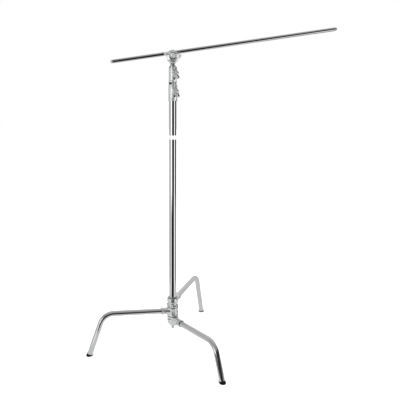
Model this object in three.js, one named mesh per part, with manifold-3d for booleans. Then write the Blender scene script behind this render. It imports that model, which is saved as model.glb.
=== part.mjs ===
// Century stand with a sliding-leg base, a three-section column, a grip head and a grip arm.
// Millimetres, +Z up. The floor is z = 0 and the arm points along +X.
import * as THREE from 'three';
import { mergeVertices } from 'three/addons/utils/BufferGeometryUtils.js';
import Module from 'manifold-3d';

const wasm = await Module();
wasm.setup();

const deg = Math.PI / 180;

// ---------------------------------------------------------------- driving dimensions
const COLUMN_X = -150.36;         // column axis, seen from the centre of the footprint box
const COLUMN_Y = -13.78;
const GAP = 0.3;                  // clearance between pieces that touch

const LOWER_OD = 35.0, LOWER_ID = 31.0;      // base column tube
const MIDDLE_OD = 30.0, MIDDLE_ID = 26.6;    // first riser
const TOP_OD = 25.0, TOP_ID = 21.6;          // second riser
const STUD_D = 16.0;                         // 5/8 in stud
const ARM_D = 16.0, ARM_ID = 13.0;           // 5/8 in grip arm
const LEG_OD = 25.4, LEG_ID = 22.4;          // leg tube
const CAP_OD = 28.4;                         // rubber foot cap

const LEG_RISE = 4.69 * deg;      // the top run of a leg climbs outward
const LEG_BEND_R = 62.0;          // centreline radius of the leg bend
// azimuth, height of the socket axis at the column, corner radius, splay, socket length
const LEGS = {
  front: { azimuth: 301.35 * deg, z0: 126.0, corner: 342.0, splay: 21.8 * deg, socket: 80.0 },
  left: { azimuth: 197.12 * deg, z0: 170.0, corner: 338.0, splay: 20.4 * deg, socket: 58.0 },
  back: { azimuth: 65.96 * deg, z0: 218.0, corner: 322.0, splay: 19.3 * deg, socket: 66.0 },
};
const FOOT_CUT = 9.0;             // leg tube ends this far above the floor along its axis

const HUB_R = 28.0, SOCKET_R = 16.5, SOCKET_RIM_R = 18.2, SOCKET_BORE_R = 13.2;
const HUB_BORE_R = 18.1;          // legs turn on the base column tube
const FRONT_HUB = [92.0, 146.0], LEFT_HUB = [148.6, 192.0], BACK_HUB = [194.6, 237.8];

const LOWER_TUBE = [107.0, 1204.0];
const MIDDLE_TUBE = [131.3, 1284.0];
const TOP_TUBE = [146.3, 1330.0];
const LOWER_COLLAR = [1176.0, 1249.0], LOWER_SCREW_Z = 1217.0;
const UPPER_COLLAR = [1257.0, 1328.5], UPPER_SCREW_Z = 1296.0;
const SCREW_AZIMUTH = -62.0 * deg;
const LABEL = [1004.0, 1022.0];
const STUD_TOP = 1376.0;

const BOLT_Z = 1365.5;            // axis of the grip head's centre bolt
const JAW_R = 27.75;              // gripping discs
const ARM_TILT = 7.91 * deg;      // the arm climbs towards +X
const ARM_OFFSET = 15.048;          // arm axis above the bolt axis
const ARM_Y = -34.0;              // arm axis in front of the stud axis
const ARM_ENDS = [-272.688, 717.312];

// ---------------------------------------------------------------- materials
const metal = (color, roughness) => new THREE.MeshStandardMaterial({ color, roughness, metalness: 1 });
const chromeTube = metal(0xd9dbdd, 0.07);
const chromeCast = metal(0xc9cbcd, 0.2);
const zinc = metal(0xa9abad, 0.35);
const darkSteel = metal(0x3a3b3d, 0.4);
const brass = metal(0xb89a55, 0.35);
const rubber = new THREE.MeshStandardMaterial({ color: 0x151515, roughness: 0.85, metalness: 0 });
const nylon = new THREE.MeshStandardMaterial({ color: 0x2a2a2c, roughness: 0.6, metalness: 0 });
const fibre = new THREE.MeshStandardMaterial({ color: 0x4b3a30, roughness: 0.9, metalness: 0 });
const whiteLabel = new THREE.MeshStandardMaterial({ color: 0xf4f4f2, roughness: 0.5, metalness: 0 });

// ---------------------------------------------------------------- geometry helpers
// closed profile of [radius, height] pairs turned about Z
function turned(profile, segments = 20) {
  const pts = profile.map(([r, z]) => new THREE.Vector2(r, z));
  if (profile[0][0] > 0) pts.push(pts[0].clone());
  const g = new THREE.LatheGeometry(pts, segments);
  g.rotateX(Math.PI / 2);
  return g;
}
const ring = (r0, r1, z0, z1, segments = 20) => turned([[r0, z0], [r1, z0], [r1, z1], [r0, z1]], segments);
const rod = (r, z0, z1, segments = 20) => turned([[0, z0], [r, z0], [r, z1], [0, z1]], segments);

// rotate a piece made along Z so that it lies along the given direction
function along(g, direction, origin = [0, 0, 0]) {
  const q = new THREE.Quaternion().setFromUnitVectors(new THREE.Vector3(0, 0, 1), new THREE.Vector3(...direction).normalize());
  g.applyQuaternion(q);
  g.translate(...origin);
  return g;
}
function box(x0, x1, y0, y1, z0, z1) {
  const g = new THREE.BoxGeometry(x1 - x0, y1 - y0, z1 - z0);
  g.translate((x0 + x1) / 2, (y0 + y1) / 2, (z0 + z1) / 2);
  return g;
}

function solid(geometry) {
  const g = geometry.clone();
  for (const name of ['normal', 'uv']) if (g.hasAttribute(name)) g.deleteAttribute(name);
  let m = mergeVertices(g, 1e-4);
  const index = Array.from(m.index.array), kept = [];
  for (let i = 0; i < index.length; i += 3) {
    const [a, b, c] = index.slice(i, i + 3);
    if (a !== b && b !== c && c !== a) kept.push(a, b, c);
  }
  const position = new Float32Array(m.attributes.position.array);
  let volume = 0;
  for (let i = 0; i < kept.length; i += 3) {
    const [a, b, c] = [kept[i] * 3, kept[i + 1] * 3, kept[i + 2] * 3];
    volume += position[a] * (position[b + 1] * position[c + 2] - position[b + 2] * position[c + 1])
      - position[a + 1] * (position[b] * position[c + 2] - position[b + 2] * position[c])
      + position[a + 2] * (position[b] * position[c + 1] - position[b + 1] * position[c]);
  }
  if (volume < 0) for (let i = 0; i < kept.length; i += 3) [kept[i], kept[i + 1]] = [kept[i + 1], kept[i]];
  return new wasm.Manifold(new wasm.Mesh({ numProp: 3, vertProperties: position, triVerts: new Uint32Array(kept) }));
}
function toGeometry(manifold) {
  const m = manifold.getMesh();
  const g = new THREE.BufferGeometry();
  const n = m.vertProperties.length / m.numProp;
  const position = new Float32Array(n * 3);
  for (let i = 0; i < n; i++) for (let k = 0; k < 3; k++) position[3 * i + k] = m.vertProperties[i * m.numProp + k];
  g.setAttribute('position', new THREE.BufferAttribute(position, 3));
  g.setIndex(Array.from(m.triVerts));
  return g;
}
function join(...pieces) { return pieces.map(solid).reduce((a, b) => a.add(b)); }
function cut(body, ...tools) { return tools.map(solid).reduce((a, b) => a.subtract(b), body); }

function piece(parent, name, shape, material) {
  const geometry = toGeometry(shape.isBufferGeometry ? solid(shape) : shape);
  geometry.computeVertexNormals();
  const mesh = new THREE.Mesh(geometry, material);
  mesh.name = name;
  parent.add(mesh);
  return mesh;
}
function group(parent, x = 0, y = 0, z = 0) {
  const g = new THREE.Group();
  g.position.set(x, y, z);
  parent.add(g);
  return g;
}

// a path given ring by ring, so that straight runs take one step
class StationCurve extends THREE.Curve {
  constructor(points, tangents) { super(); this.points = points; this.tangents = tangents; }
  station(u) { return Math.round(u * (this.points.length - 1)); }
  getPointAt(u, target = new THREE.Vector3()) { return target.copy(this.points[this.station(u)]); }
  getPoint(t, target) { return this.getPointAt(t, target); }
  getTangentAt(u, target = new THREE.Vector3()) { return target.copy(this.tangents[this.station(u)]); }
  getTangent(t, target) { return this.getTangentAt(t, target); }
  getSpacedPoints() { return this.points.map((p) => p.clone()); }
}

// ---------------------------------------------------------------- legs, each made in its own XZ plane
function legPath(leg) {
  const up = new THREE.Vector3(Math.cos(LEG_RISE), 0, Math.sin(LEG_RISE));
  const down = new THREE.Vector3(Math.sin(leg.splay), 0, -Math.cos(leg.splay));
  const at = (r) => new THREE.Vector3(r, 0, leg.z0 + Math.tan(LEG_RISE) * r);
  const corner = at(leg.corner);
  const foot = corner.clone().addScaledVector(down, corner.z / Math.cos(leg.splay));
  const turn = up.angleTo(down);
  const tangent = LEG_BEND_R * Math.tan(turn / 2);
  const centre = corner.clone().addScaledVector(up, -tangent).add(new THREE.Vector3(up.z, 0, -up.x).multiplyScalar(LEG_BEND_R));
  const start = at(24.6);
  const points = [start], tangents = [up.clone()];
  const steps = 7;
  for (let i = 0; i <= steps; i++) {
    const a = (turn * i) / steps;
    const t = up.clone().applyAxisAngle(new THREE.Vector3(0, 1, 0), a);
    const n = new THREE.Vector3(t.z, 0, -t.x);
    points.push(centre.clone().addScaledVector(n, -LEG_BEND_R));
    tangents.push(t);
  }
  points.push(foot.clone().addScaledVector(down, -FOOT_CUT));
  tangents.push(down.clone());
  return { points, tangents, up, down, foot, at };
}
function legTube(path) {
  const shape = new THREE.Shape();
  shape.absarc(0, 0, LEG_OD / 2, 0, 2 * Math.PI, false);
  const hole = new THREE.Path();
  hole.absarc(0, 0, LEG_ID / 2, 0, 2 * Math.PI, true);
  shape.holes.push(hole);
  return new THREE.ExtrudeGeometry(shape, {
    steps: path.points.length - 1, curveSegments: 8, bevelEnabled: false,
    extrudePath: new StationCurve(path.points, path.tangents),
  });
}
function legSocket(leg, path) {
  const start = path.at(14).toArray();
  const length = leg.socket - 14;
  return along(turned([[0, 0], [SOCKET_R, 0], [SOCKET_R, length - 7], [SOCKET_RIM_R, length - 5], [SOCKET_RIM_R, length - 1], [SOCKET_RIM_R - 1, length], [0, length]], 16), path.up.toArray(), start);
}
function legBore(path) { return along(rod(SOCKET_BORE_R, 0, 120, 16), path.up.toArray(), path.at(24).toArray()); }
const PIN_R = 2.5;
function legPin(leg, path) {
  const c = path.at(leg.socket - 18).toArray();
  return along(turned([[0, -18.6], [3.4, -18.6], [4, -17.2], [PIN_R, -17.2], [PIN_R, 17.2], [4, 17.2], [3.4, 18.6], [0, 18.6]], 10), [0, 1, 0], c);
}
function legPinHole(leg, path) { return along(rod(PIN_R + 0.45, -30, 30, 10), [0, 1, 0], path.at(leg.socket - 18).toArray()); }
function footCap(path) {
  const d = path.down, f = path.foot;
  const flange = along(turned([[0, -FOOT_CUT + GAP], [LEG_OD / 2 + 0.9, -FOOT_CUT + GAP], [CAP_OD / 2, -FOOT_CUT + 2], [CAP_OD / 2, 14], [0, 14]], 16), d.toArray(), f.toArray());
  const stem = along(rod(LEG_ID / 2 - 0.55, -FOOT_CUT - 12, -FOOT_CUT + 3, 16), d.toArray(), f.toArray());
  const floor = box(f.x - 60, f.x + 60, -60, 60, -60, 0);
  return cut(join(flange, stem), floor);
}
const hubProfile = ([z0, z1], r) => [[0, z0], [r - 2, z0], [r, z0 + 2], [r, z1 - 2], [r - 2, z1], [0, z1]];

function addLeg(parent, name, leg, hubBody, boreCuts) {
  const plane = group(parent);
  plane.rotation.z = leg.azimuth;
  const path = legPath(leg);
  piece(plane, `${name}_leg_hub`, cut(join(hubBody, legSocket(leg, path)), legBore(path), legPinHole(leg, path), ...boreCuts), chromeCast);
  piece(plane, `${name}_leg_tube`, cut(solid(legTube(path)), legPinHole(leg, path)), chromeTube);
  piece(plane, `${name}_leg_pin`, legPin(leg, path), zinc);
  piece(plane, `${name}_foot_cap`, footCap(path), rubber);
}

// ---------------------------------------------------------------- clamp screws, made along +X from the clamped tube
// axis height 0; r0 is the radius of the tube that the pad presses
function clampPad(r0) { return along(rod(5.6, r0 + 0.4, r0 + 1.9, 12), [1, 0, 0]); }
const HANDLE_BAR_AT = 25.5;       // crossbar axis, outward of the clamped tube's wall
function clampScrew(r0) {
  const hub = HANDLE_BAR_AT + r0;
  const body = along(turned([[0, r0 + 2.2], [4, r0 + 2.2], [4, hub - 9.6], [8.4, hub - 9.4], [8.6, hub + 4], [6.4, hub + 8], [0, hub + 8.6]], 12), [1, 0, 0]);
  return cut(solid(body), rotatedBarTool(hub));
}
const BAR_LEAN = 17.5 * deg;      // the crossbar's top end leans back from vertical
function barDirection() { return [0, -Math.sin(BAR_LEAN), Math.cos(BAR_LEAN)]; }
function rotatedBarTool(hub) { return along(rod(4.75, -20, 20, 14), barDirection(), [hub, 0, 0]); }
function crossbar(half, centre, direction, mid = 4.3, end = 6.6) {
  const g = turned([[0, -half], [end * 0.72, -half + 1], [end, -half + 4.5], [end * 0.92, -half + 9], [mid, -half + 17],
    [mid, half - 17], [end * 0.92, half - 9], [end, half - 4.5], [end * 0.72, half - 1], [0, half]], 10);
  return along(g, direction, centre);
}
function addClamp(parent, name, r0, azimuth, z) {
  const g = group(parent, 0, 0, z);
  g.rotation.z = azimuth;
  piece(g, `${name}_clamp_pad`, clampPad(r0), brass);
  piece(g, `${name}_clamp_screw`, clampScrew(r0), chromeCast);
  piece(g, `${name}_clamp_handle`, crossbar(27, [HANDLE_BAR_AT + r0, 0, 0], barDirection()), chromeCast);
}
// the boss on a collar that the clamp screw passes through, with its holes
function clampBoss(r0, azimuth, z) {
  const g = along(turned([[0, r0 - 3], [11.5, r0 - 3], [11.5, r0 + 8], [10, r0 + 13.5], [0, r0 + 13.5]], 14), [1, 0, 0]);
  g.rotateZ(azimuth); g.translate(0, 0, z);
  return g;
}
function clampHoles(r0, azimuth, z) {
  const screw = along(rod(4.7, 0, r0 + 30, 12), [1, 0, 0]);
  const pad = along(rod(6.2, 0, r0 + 5.0, 12), [1, 0, 0]);
  for (const g of [screw, pad]) { g.rotateZ(azimuth); g.translate(0, 0, z); }
  return [screw, pad];
}
function radialScrew(r, from, to, azimuth, z) {
  const g = along(rod(r, from, to, 8), [1, 0, 0]);
  g.rotateZ(azimuth); g.translate(0, 0, z);
  return g;
}

// ================================================================ assembly
const stand = new THREE.Group();
stand.name = 'century_stand';
const column = group(stand, COLUMN_X, COLUMN_Y, 0);

// ---- base: the low hub is fixed to the column tube and carries the front leg
{
  const base = group(column);
  const r0 = LOWER_OD / 2;
  const low = turned([[0, 92], [9, 92], [10.5, 94], [20.5, 104], [25.5, 106.5], [27.5, 114], [HUB_R, 122], [HUB_R, 144], [26, 146], [0, 146]]);
  const bore = rod(r0 + 0.45, 106.5, 160);
  const boltHole = rod(5.3, 80, 120, 12);
  addLeg(base, 'front', LEGS.front, low, [bore, boltHole]);
  piece(base, 'lower_tube', ring(LOWER_ID / 2, r0, ...LOWER_TUBE), chromeTube);
  piece(base, 'lower_tube_plug', ring(5.3, LOWER_ID / 2 - 0.45, 107.2, 121), zinc);
  piece(base, 'base_end_bolt', join(rod(4.8, 91, 120.5, 12), turned([[0, 80], [5.2, 80], [7.4, 82], [7.4, 91.5], [0, 91.5]], 6)), zinc);
  piece(base, 'lower_thrust_washer', ring(18.2, 25.5, 146.3, 148.3, 16), nylon);
  piece(base, 'upper_thrust_washer', ring(18.2, 25.5, 192.3, 194.3, 16), nylon);
  piece(base, 'wave_spring', ring(18.6, 24, 238.1, 239.8, 16), darkSteel);
  piece(base, 'retaining_ring', ring(r0 + 0.45, 22.6, 240.2, 243.2), darkSteel);
  piece(base, 'label_band', ring(r0 + 0.3, r0 + 0.9, ...LABEL), whiteLabel);

  // casting that grips the tube's top end and holds the first riser's clamp
  const [c0, c1] = LOWER_COLLAR, rm = MIDDLE_OD / 2;
  const body = turned([[0, c0], [20.8, c0], [21.8, c0 + 1.5], [21.8, c0 + 8], [20.6, c0 + 24], [20.2, c1 - 14], [19.4, c1 - 3], [18, c1], [0, c1]]);
  piece(base, 'lower_collar', cut(join(body, clampBoss(rm, SCREW_AZIMUTH, LOWER_SCREW_Z)),
    rod(r0 + 0.45, c0 - 10, LOWER_TUBE[1] + 0.4), rod(rm + 0.45, c0, c1 + 10), ...clampHoles(rm, SCREW_AZIMUTH, LOWER_SCREW_Z),
    radialScrew(3.3, 10, 40, -78 * deg, c0 + 21)), chromeCast);
  piece(base, 'lower_collar_screw', radialScrew(2.8, 18.0, 21.4, -78 * deg, c0 + 21), darkSteel);
  addClamp(base, 'lower', rm, SCREW_AZIMUTH, LOWER_SCREW_Z);
}

// ---- the two legs that turn on the column tube
addLeg(column, 'left', LEGS.left, turned(hubProfile(LEFT_HUB, HUB_R)), [rod(HUB_BORE_R, LEFT_HUB[0] - 5, LEFT_HUB[1] + 5)]);
addLeg(column, 'back', LEGS.back, turned(hubProfile(BACK_HUB, HUB_R)), [rod(HUB_BORE_R, BACK_HUB[0] - 5, BACK_HUB[1] + 5)]);

// ---- first riser
{
  const riser = group(column);
  const r1 = MIDDLE_OD / 2, rt = TOP_OD / 2;
  piece(riser, 'middle_tube', ring(MIDDLE_ID / 2, r1, ...MIDDLE_TUBE), chromeTube);
  piece(riser, 'middle_tube_foot', turned([[0, 125], [14.3, 125], [15, 126], [15, 131], [12.8, 131], [12.8, 139], [0, 139]]), nylon);
  const [c0, c1] = UPPER_COLLAR;
  const body = turned([[0, c0], [18.2, c0], [19.4, c0 + 1.5], [19.4, c0 + 7], [18.7, c0 + 22], [18.3, c1 - 14], [17.4, c1 - 4], [15.8, c1], [0, c1]]);
  piece(riser, 'upper_collar', cut(join(body, clampBoss(rt, SCREW_AZIMUTH, UPPER_SCREW_Z)),
    rod(r1 + 0.45, c0 - 10, MIDDLE_TUBE[1] + 0.4), rod(rt + 0.45, c0, c1 + 10), ...clampHoles(rt, SCREW_AZIMUTH, UPPER_SCREW_Z),
    radialScrew(3.3, 8, 40, -78 * deg, c0 + 15)), chromeCast);
  piece(riser, 'upper_collar_screw', radialScrew(2.8, 15.5, 19.0, -78 * deg, c0 + 15), darkSteel);
  addClamp(riser, 'upper', rt, SCREW_AZIMUTH, UPPER_SCREW_Z);
}

// ---- second riser with the stud
{
  const riser = group(column);
  const r2 = TOP_OD / 2, pinZ = 1314;
  const pinHole = along(rod(2.4, -20, 20, 8), [1, 0, 0], [0, 0, pinZ]);
  piece(riser, 'top_tube', cut(solid(ring(TOP_ID / 2, r2, ...TOP_TUBE)), pinHole), chromeTube);
  piece(riser, 'top_tube_foot', turned([[0, 140], [12, 140], [12.7, 141], [12.7, 146], [10.3, 146], [10.3, 156], [0, 156]]), nylon);
  const s = STUD_D / 2;
  piece(riser, 'stud', cut(solid(turned([[0, 1300], [10.3, 1300], [10.3, 1330.3], [12.2, 1330.3], [12.2, 1332], [9, 1336], [s, 1337],
    [s, 1350], [s - 1.4, 1351.5], [s - 1.4, 1362.5], [s, 1364], [s, STUD_TOP - 1.5], [s - 1.5, STUD_TOP], [0, STUD_TOP]])), pinHole), zinc);
  piece(riser, 'stud_pin', along(rod(2, -12, 12, 8), [1, 0, 0], [0, 0, pinZ]), zinc);
}

// ---- grip head: socket and face plate on the stud
const head = group(column);
{
  const socket = turned([[0, 1339], [12.6, 1339], [13.6, 1340.2], [13.6, 1380], [12, 1382.5], [0, 1382.5]]);
  const plate = along(turned([[0, 11], [23.5, 11], [25, 12.5], [25, 18.5], [24, 19.5], [0, 19.5]], 20), [0, -1, 0], [0, 0, BOLT_Z]);
  const screwBoss = along(turned([[0, 6], [10.5, 6], [10.5, 14], [9.5, 20], [0, 20]], 16), [0, 1, 0], [0, 0, 1357]);
  const studHoles = [along(rod(4.7, 0, 40, 12), [0, 1, 0], [0, 0, 1357]), along(rod(6.2, 0, STUD_D / 2 + 5, 12), [0, 1, 0], [0, 0, 1357])];
  const boltHole = along(rod(5.9, 8, 30, 16), [0, -1, 0], [0, 0, BOLT_Z]);
  piece(head, 'head_socket', cut(join(socket, plate, screwBoss), rod(STUD_D / 2 + 0.45, 1330, 1378), boltHole, ...studHoles), chromeCast);
  piece(head, 'friction_disc', along(ring(6.5, 24, 19.8, 21.3, 16), [0, -1, 0], [0, 0, BOLT_Z]), fibre);
  piece(head, 'centre_bolt', along(rod(5.4, 10.4, 66, 16), [0, -1, 0], [0, 0, BOLT_Z]), zinc);
  const clamp = group(head, 0, 0, 1357);
  clamp.rotation.z = 90 * deg;
  const r0 = STUD_D / 2;
  piece(clamp, 'stud_clamp_pad', clampPad(r0), brass);
  piece(clamp, 'stud_clamp_screw', clampScrew(r0), chromeCast);
  piece(clamp, 'stud_clamp_handle', crossbar(24, [HANDLE_BAR_AT + r0, 0, 0], barDirection()), chromeCast);
}

// ---- jaws: two discs that turn together on the bolt and hold the arm between them
const jaws = group(head, 0, 0, BOLT_Z);
jaws.rotation.y = -ARM_TILT;
{
  const groove = along(rod(ARM_D / 2 + 0.45, -60, 60, 16), [1, 0, 0], [0, ARM_Y, ARM_OFFSET]);
  const face = [0, -1, 0];
  const disc = (y0, y1) => along(turned([[0, y0], [JAW_R - 1.2, y0], [JAW_R, y0 + 1.2], [JAW_R, y1 - 1.2], [JAW_R - 1.2, y1], [0, y1]], 28), face);
  const hole = along(rod(6.2, 0, 60, 16), face);
  piece(jaws, 'inner_jaw', cut(solid(disc(21.6, 31)), hole, groove), chromeCast);
  piece(jaws, 'jaw_spring', along(ring(5.6, 6.8, 31.4, 36.6, 16), face), darkSteel);
  piece(jaws, 'outer_jaw', cut(solid(disc(37, 46.4)), hole, groove), chromeCast);
  piece(jaws, 'pressure_washer', along(ring(6.3, 15, 46.7, 48.7, 16), face), zinc);
  piece(jaws, 'thrust_bearing', along(ring(6.5, 12.5, 49, 53.4, 16), face), zinc);

  const [x0, x1] = ARM_ENDS, r = ARM_D / 2;
  piece(jaws, 'arm_tube', along(ring(ARM_ID / 2, r, x0 + 10, x1 - 10, 16), [1, 0, 0], [0, ARM_Y, ARM_OFFSET]), chromeTube);
  const tip = (sign) => turned([[0, 0], [4.2, 0], [5, 0.8], [r, 9.6], [6, 9.6], [6, 22], [0, 22]], 16);
  piece(jaws, 'arm_tip_near', along(tip(), [1, 0, 0], [x0, ARM_Y, ARM_OFFSET]), zinc);
  piece(jaws, 'arm_tip_far', along(tip(), [-1, 0, 0], [x1, ARM_Y, ARM_OFFSET]), zinc);
}

// ---- the handle that closes the jaws
{
  const handle = group(head, 0, 0, BOLT_Z);
  const at = 76.5, dir = [Math.cos(8.8 * deg), 0, -Math.sin(8.8 * deg)];
  const hub = along(turned([[0, 53.8], [10.5, 53.8], [11, 56], [9.8, 66], [9.6, at + 5], [7, at + 8.4], [0, at + 9]], 16), [0, -1, 0]);
  const bore = along(rod(5.9, 50, 67, 16), [0, -1, 0]);
  const cross = along(rod(5.35, -20, 20, 14), dir, [0, -at, 0]);
  piece(handle, 'head_handle_hub', cut(solid(hub), bore, cross), chromeCast);
  piece(handle, 'head_handle_bar', crossbar(37, [0, -at, 0], dir, 4.9, 8.2), chromeCast);
}

export default stand;
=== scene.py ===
import math
import bpy
import bmesh
import numpy as np
from mathutils import Matrix, Vector


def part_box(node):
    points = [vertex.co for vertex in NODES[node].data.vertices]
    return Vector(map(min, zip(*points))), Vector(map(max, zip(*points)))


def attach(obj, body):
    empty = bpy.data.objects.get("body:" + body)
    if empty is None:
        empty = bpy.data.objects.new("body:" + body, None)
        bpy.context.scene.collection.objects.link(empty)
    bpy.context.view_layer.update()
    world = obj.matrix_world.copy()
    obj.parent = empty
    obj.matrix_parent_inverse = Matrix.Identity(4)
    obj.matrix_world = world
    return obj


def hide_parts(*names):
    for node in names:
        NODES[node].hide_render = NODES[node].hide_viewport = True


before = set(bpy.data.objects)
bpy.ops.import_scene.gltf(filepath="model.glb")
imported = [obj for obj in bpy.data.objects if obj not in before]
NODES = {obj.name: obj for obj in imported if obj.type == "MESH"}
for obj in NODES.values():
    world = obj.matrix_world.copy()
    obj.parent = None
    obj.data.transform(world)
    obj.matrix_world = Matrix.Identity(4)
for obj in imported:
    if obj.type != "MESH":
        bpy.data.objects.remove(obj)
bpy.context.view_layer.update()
MM = 0.001
DEG = math.pi / 180

# ------------------------------------------------------------------ dimensions, in millimetres from the column's foot
_lo, _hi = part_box("lower_tube")
AX, AY = (_lo.x + _hi.x) / 2 / MM, (_lo.y + _hi.y) / 2 / MM
COLUMN = Matrix.Translation((AX, AY, 0))

LEG_OD, LEG_ID, LEG_RISE, BEND_R = 25.4, 22.4, 4.69 * DEG, 62.0
LEGS = {
    "front": dict(az=301.35, z0=126.0, corner=342.0, splay=21.8, socket=80.0, hub=(92.0, 146.0), body="base"),
    "left": dict(az=197.12, z0=170.0, corner=338.0, splay=20.4, socket=58.0, hub=(148.6, 192.0), body="left_leg"),
    "back": dict(az=65.96, z0=218.0, corner=322.0, splay=19.3, socket=66.0, hub=(194.6, 237.8), body="back_leg"),
}
SCREW_AZ = -62.0 * DEG
LEAN = 17.5 * DEG
BOLT_Z, TILT, ARM_Y, ARM_OFF = 1365.5, 7.91 * DEG, -34.0, 15.048
BAR_AT = 25.5
BAR_TILT = 8.8 * DEG


# ------------------------------------------------------------------ mesh helpers
def rounded(points, default=0.0, seg=4, closed=False):
    """Corner-rounded polyline. points are (r, z) or (r, z, fillet radius)."""
    pts = [(p[0], p[1], p[2] if len(p) > 2 else default) for p in points]
    n = len(pts)
    out = []
    for i, (x, y, r) in enumerate(pts):
        if (not closed and i in (0, n - 1)) or r <= 0:
            out.append((x, y))
            continue
        a, b, c = np.array(pts[i - 1][:2]), np.array((x, y)), np.array(pts[(i + 1) % n][:2])
        u, v = a - b, c - b
        lu, lv = np.linalg.norm(u), np.linalg.norm(v)
        if lu < 1e-9 or lv < 1e-9:
            out.append((x, y))
            continue
        u, v = u / lu, v / lv
        angle = math.acos(max(-1, min(1, float(u @ v))))
        if angle > math.pi - 0.03:
            out.append((x, y))
            continue
        t = min(r / math.tan(angle / 2), 0.48 * lu, 0.48 * lv)
        rr = t * math.tan(angle / 2)
        bis = (u + v) / np.linalg.norm(u + v)
        centre = b + bis * (rr / math.sin(angle / 2))
        s, e = b + u * t - centre, b + v * t - centre
        a0 = math.atan2(s[1], s[0])
        sweep = (math.atan2(e[1], e[0]) - a0 + math.pi) % (2 * math.pi) - math.pi
        for k in range(seg + 1):
            q = a0 + sweep * k / seg
            out.append((centre[0] + rr * math.cos(q), centre[1] + rr * math.sin(q)))
    return out


def turn(points, segs=64, fillet=0.0, closed=False, seg=4, radius=None):
    """Solid of revolution about Z. closed profiles are rings, open ones start and end on the axis."""
    prof = rounded(points, fillet, seg, closed)
    verts, rings = [], []
    for r, z in prof:
        if r < 1e-6:
            rings.append([len(verts)])
            verts.append((0.0, 0.0, z))
        else:
            row = []
            for k in range(segs):
                a = 2 * math.pi * k / segs
                q = r if radius is None else radius(r, z, a)
                row.append(len(verts))
                verts.append((q * math.cos(a), q * math.sin(a), z))
            rings.append(row)
    faces = []
    pairs = list(zip(rings, rings[1:])) + ([(rings[-1], rings[0])] if closed else [])
    for a, b in pairs:
        for k in range(segs):
            m = (k + 1) % segs
            if len(a) == 1 and len(b) == 1:
                break
            if len(a) == 1:
                faces.append((a[0], b[m], b[k]))
            elif len(b) == 1:
                faces.append((a[k], a[m], b[0]))
            else:
                faces.append((a[k], a[m], b[m], b[k]))
    return verts, faces


def aim(direction, origin=(0, 0, 0)):
    """Matrix that lays +Z along a direction."""
    q = Vector((0, 0, 1)).rotation_difference(Vector(direction).normalized())
    return Matrix.Translation(Vector(origin)) @ q.to_matrix().to_4x4()


def block(x0, x1, y0, y1, z0, z1):
    v = [(x, y, z) for x in (x0, x1) for y in (y0, y1) for z in (z0, z1)]
    return v, [(0, 1, 3, 2), (4, 6, 7, 5), (0, 4, 5, 1), (2, 3, 7, 6), (0, 2, 6, 4), (1, 5, 7, 3)]


def plate(outline, thickness):
    """Flat plate in the XZ plane, centred on Y = 0, with a convex or concave outline."""
    n = len(outline)
    v = [(x, -thickness / 2, z) for x, z in outline] + [(x, thickness / 2, z) for x, z in outline]
    f = [tuple(range(n)), tuple(range(2 * n - 1, n - 1, -1))]
    f += [(k, k + n, (k + 1) % n + n, (k + 1) % n) for k in range(n)]
    return v, f


def moved(shape, matrix):
    v, f = shape
    return [tuple(matrix @ Vector(p)) for p in v], f


def build(name, shapes, matrix=Matrix.Identity(4), sharp=40):
    """One Blender object, in metres in the row frame, from shapes in millimetres about the column."""
    if isinstance(shapes, tuple):
        shapes = [shapes]
    m = Matrix.Diagonal((MM, MM, MM, 1)) @ COLUMN @ matrix
    verts, faces = [], []
    for v, f in shapes:
        base = len(verts)
        verts += [tuple(m @ Vector(p)) for p in v]
        faces += [tuple(i + base for i in q) for q in f]
    me = bpy.data.meshes.new(name)
    me.from_pydata(verts, [], faces)
    bm = bmesh.new()
    bm.from_mesh(me)
    bmesh.ops.recalc_face_normals(bm, faces=bm.faces)
    bm.to_mesh(me)
    bm.free()
    ob = bpy.data.objects.new(name, me)
    bpy.context.scene.collection.objects.link(ob)
    smooth(ob, sharp)
    return ob


def smooth(ob, sharp=40):
    ob.data.polygons.foreach_set("use_smooth", [True] * len(ob.data.polygons))
    ob.data.set_sharp_from_angle(angle=sharp * DEG)
    ob.data.update()


def bake(ob):
    """Applies the object's modifiers to its mesh."""
    bpy.context.view_layer.update()
    dg = bpy.context.evaluated_depsgraph_get()
    me = bpy.data.meshes.new_from_object(ob.evaluated_get(dg), preserve_all_data_layers=False, depsgraph=dg)
    old = ob.data
    ob.modifiers.clear()
    ob.data = me
    bpy.data.meshes.remove(old)
    return ob


def cut(ob, tools, operation="DIFFERENCE", sharp=40):
    """Boolean with tool objects, which are then removed."""
    for t in tools:
        mod = ob.modifiers.new("cut", "BOOLEAN")
        mod.operation = operation
        mod.solver = "MANIFOLD"
        mod.object = t
        bake(ob)
        me = t.data
        bpy.data.objects.remove(t)
        bpy.data.meshes.remove(me)
    smooth(ob, sharp)
    return ob


def cast(name, shapes, tools=(), matrix=Matrix.Identity(4), voxel=0.8, rounds=10, ratio=0.35, sharp=50):
    """A casting: the shapes fuse, their corners melt into fillets, then the bores are machined."""
    ob = build(name, shapes, matrix)
    mod = ob.modifiers.new("fuse", "REMESH")
    mod.mode = "VOXEL"
    mod.voxel_size = voxel * MM
    mod.use_smooth_shade = True
    sm = ob.modifiers.new("melt", "SMOOTH")
    sm.factor = 0.5
    sm.iterations = rounds
    if ratio < 1:
        dec = ob.modifiers.new("thin", "DECIMATE")
        dec.ratio = ratio
    bake(ob)
    cut(ob, [build(name + "_tool", t, matrix) for t in tools], sharp=sharp)
    return ob


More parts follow.
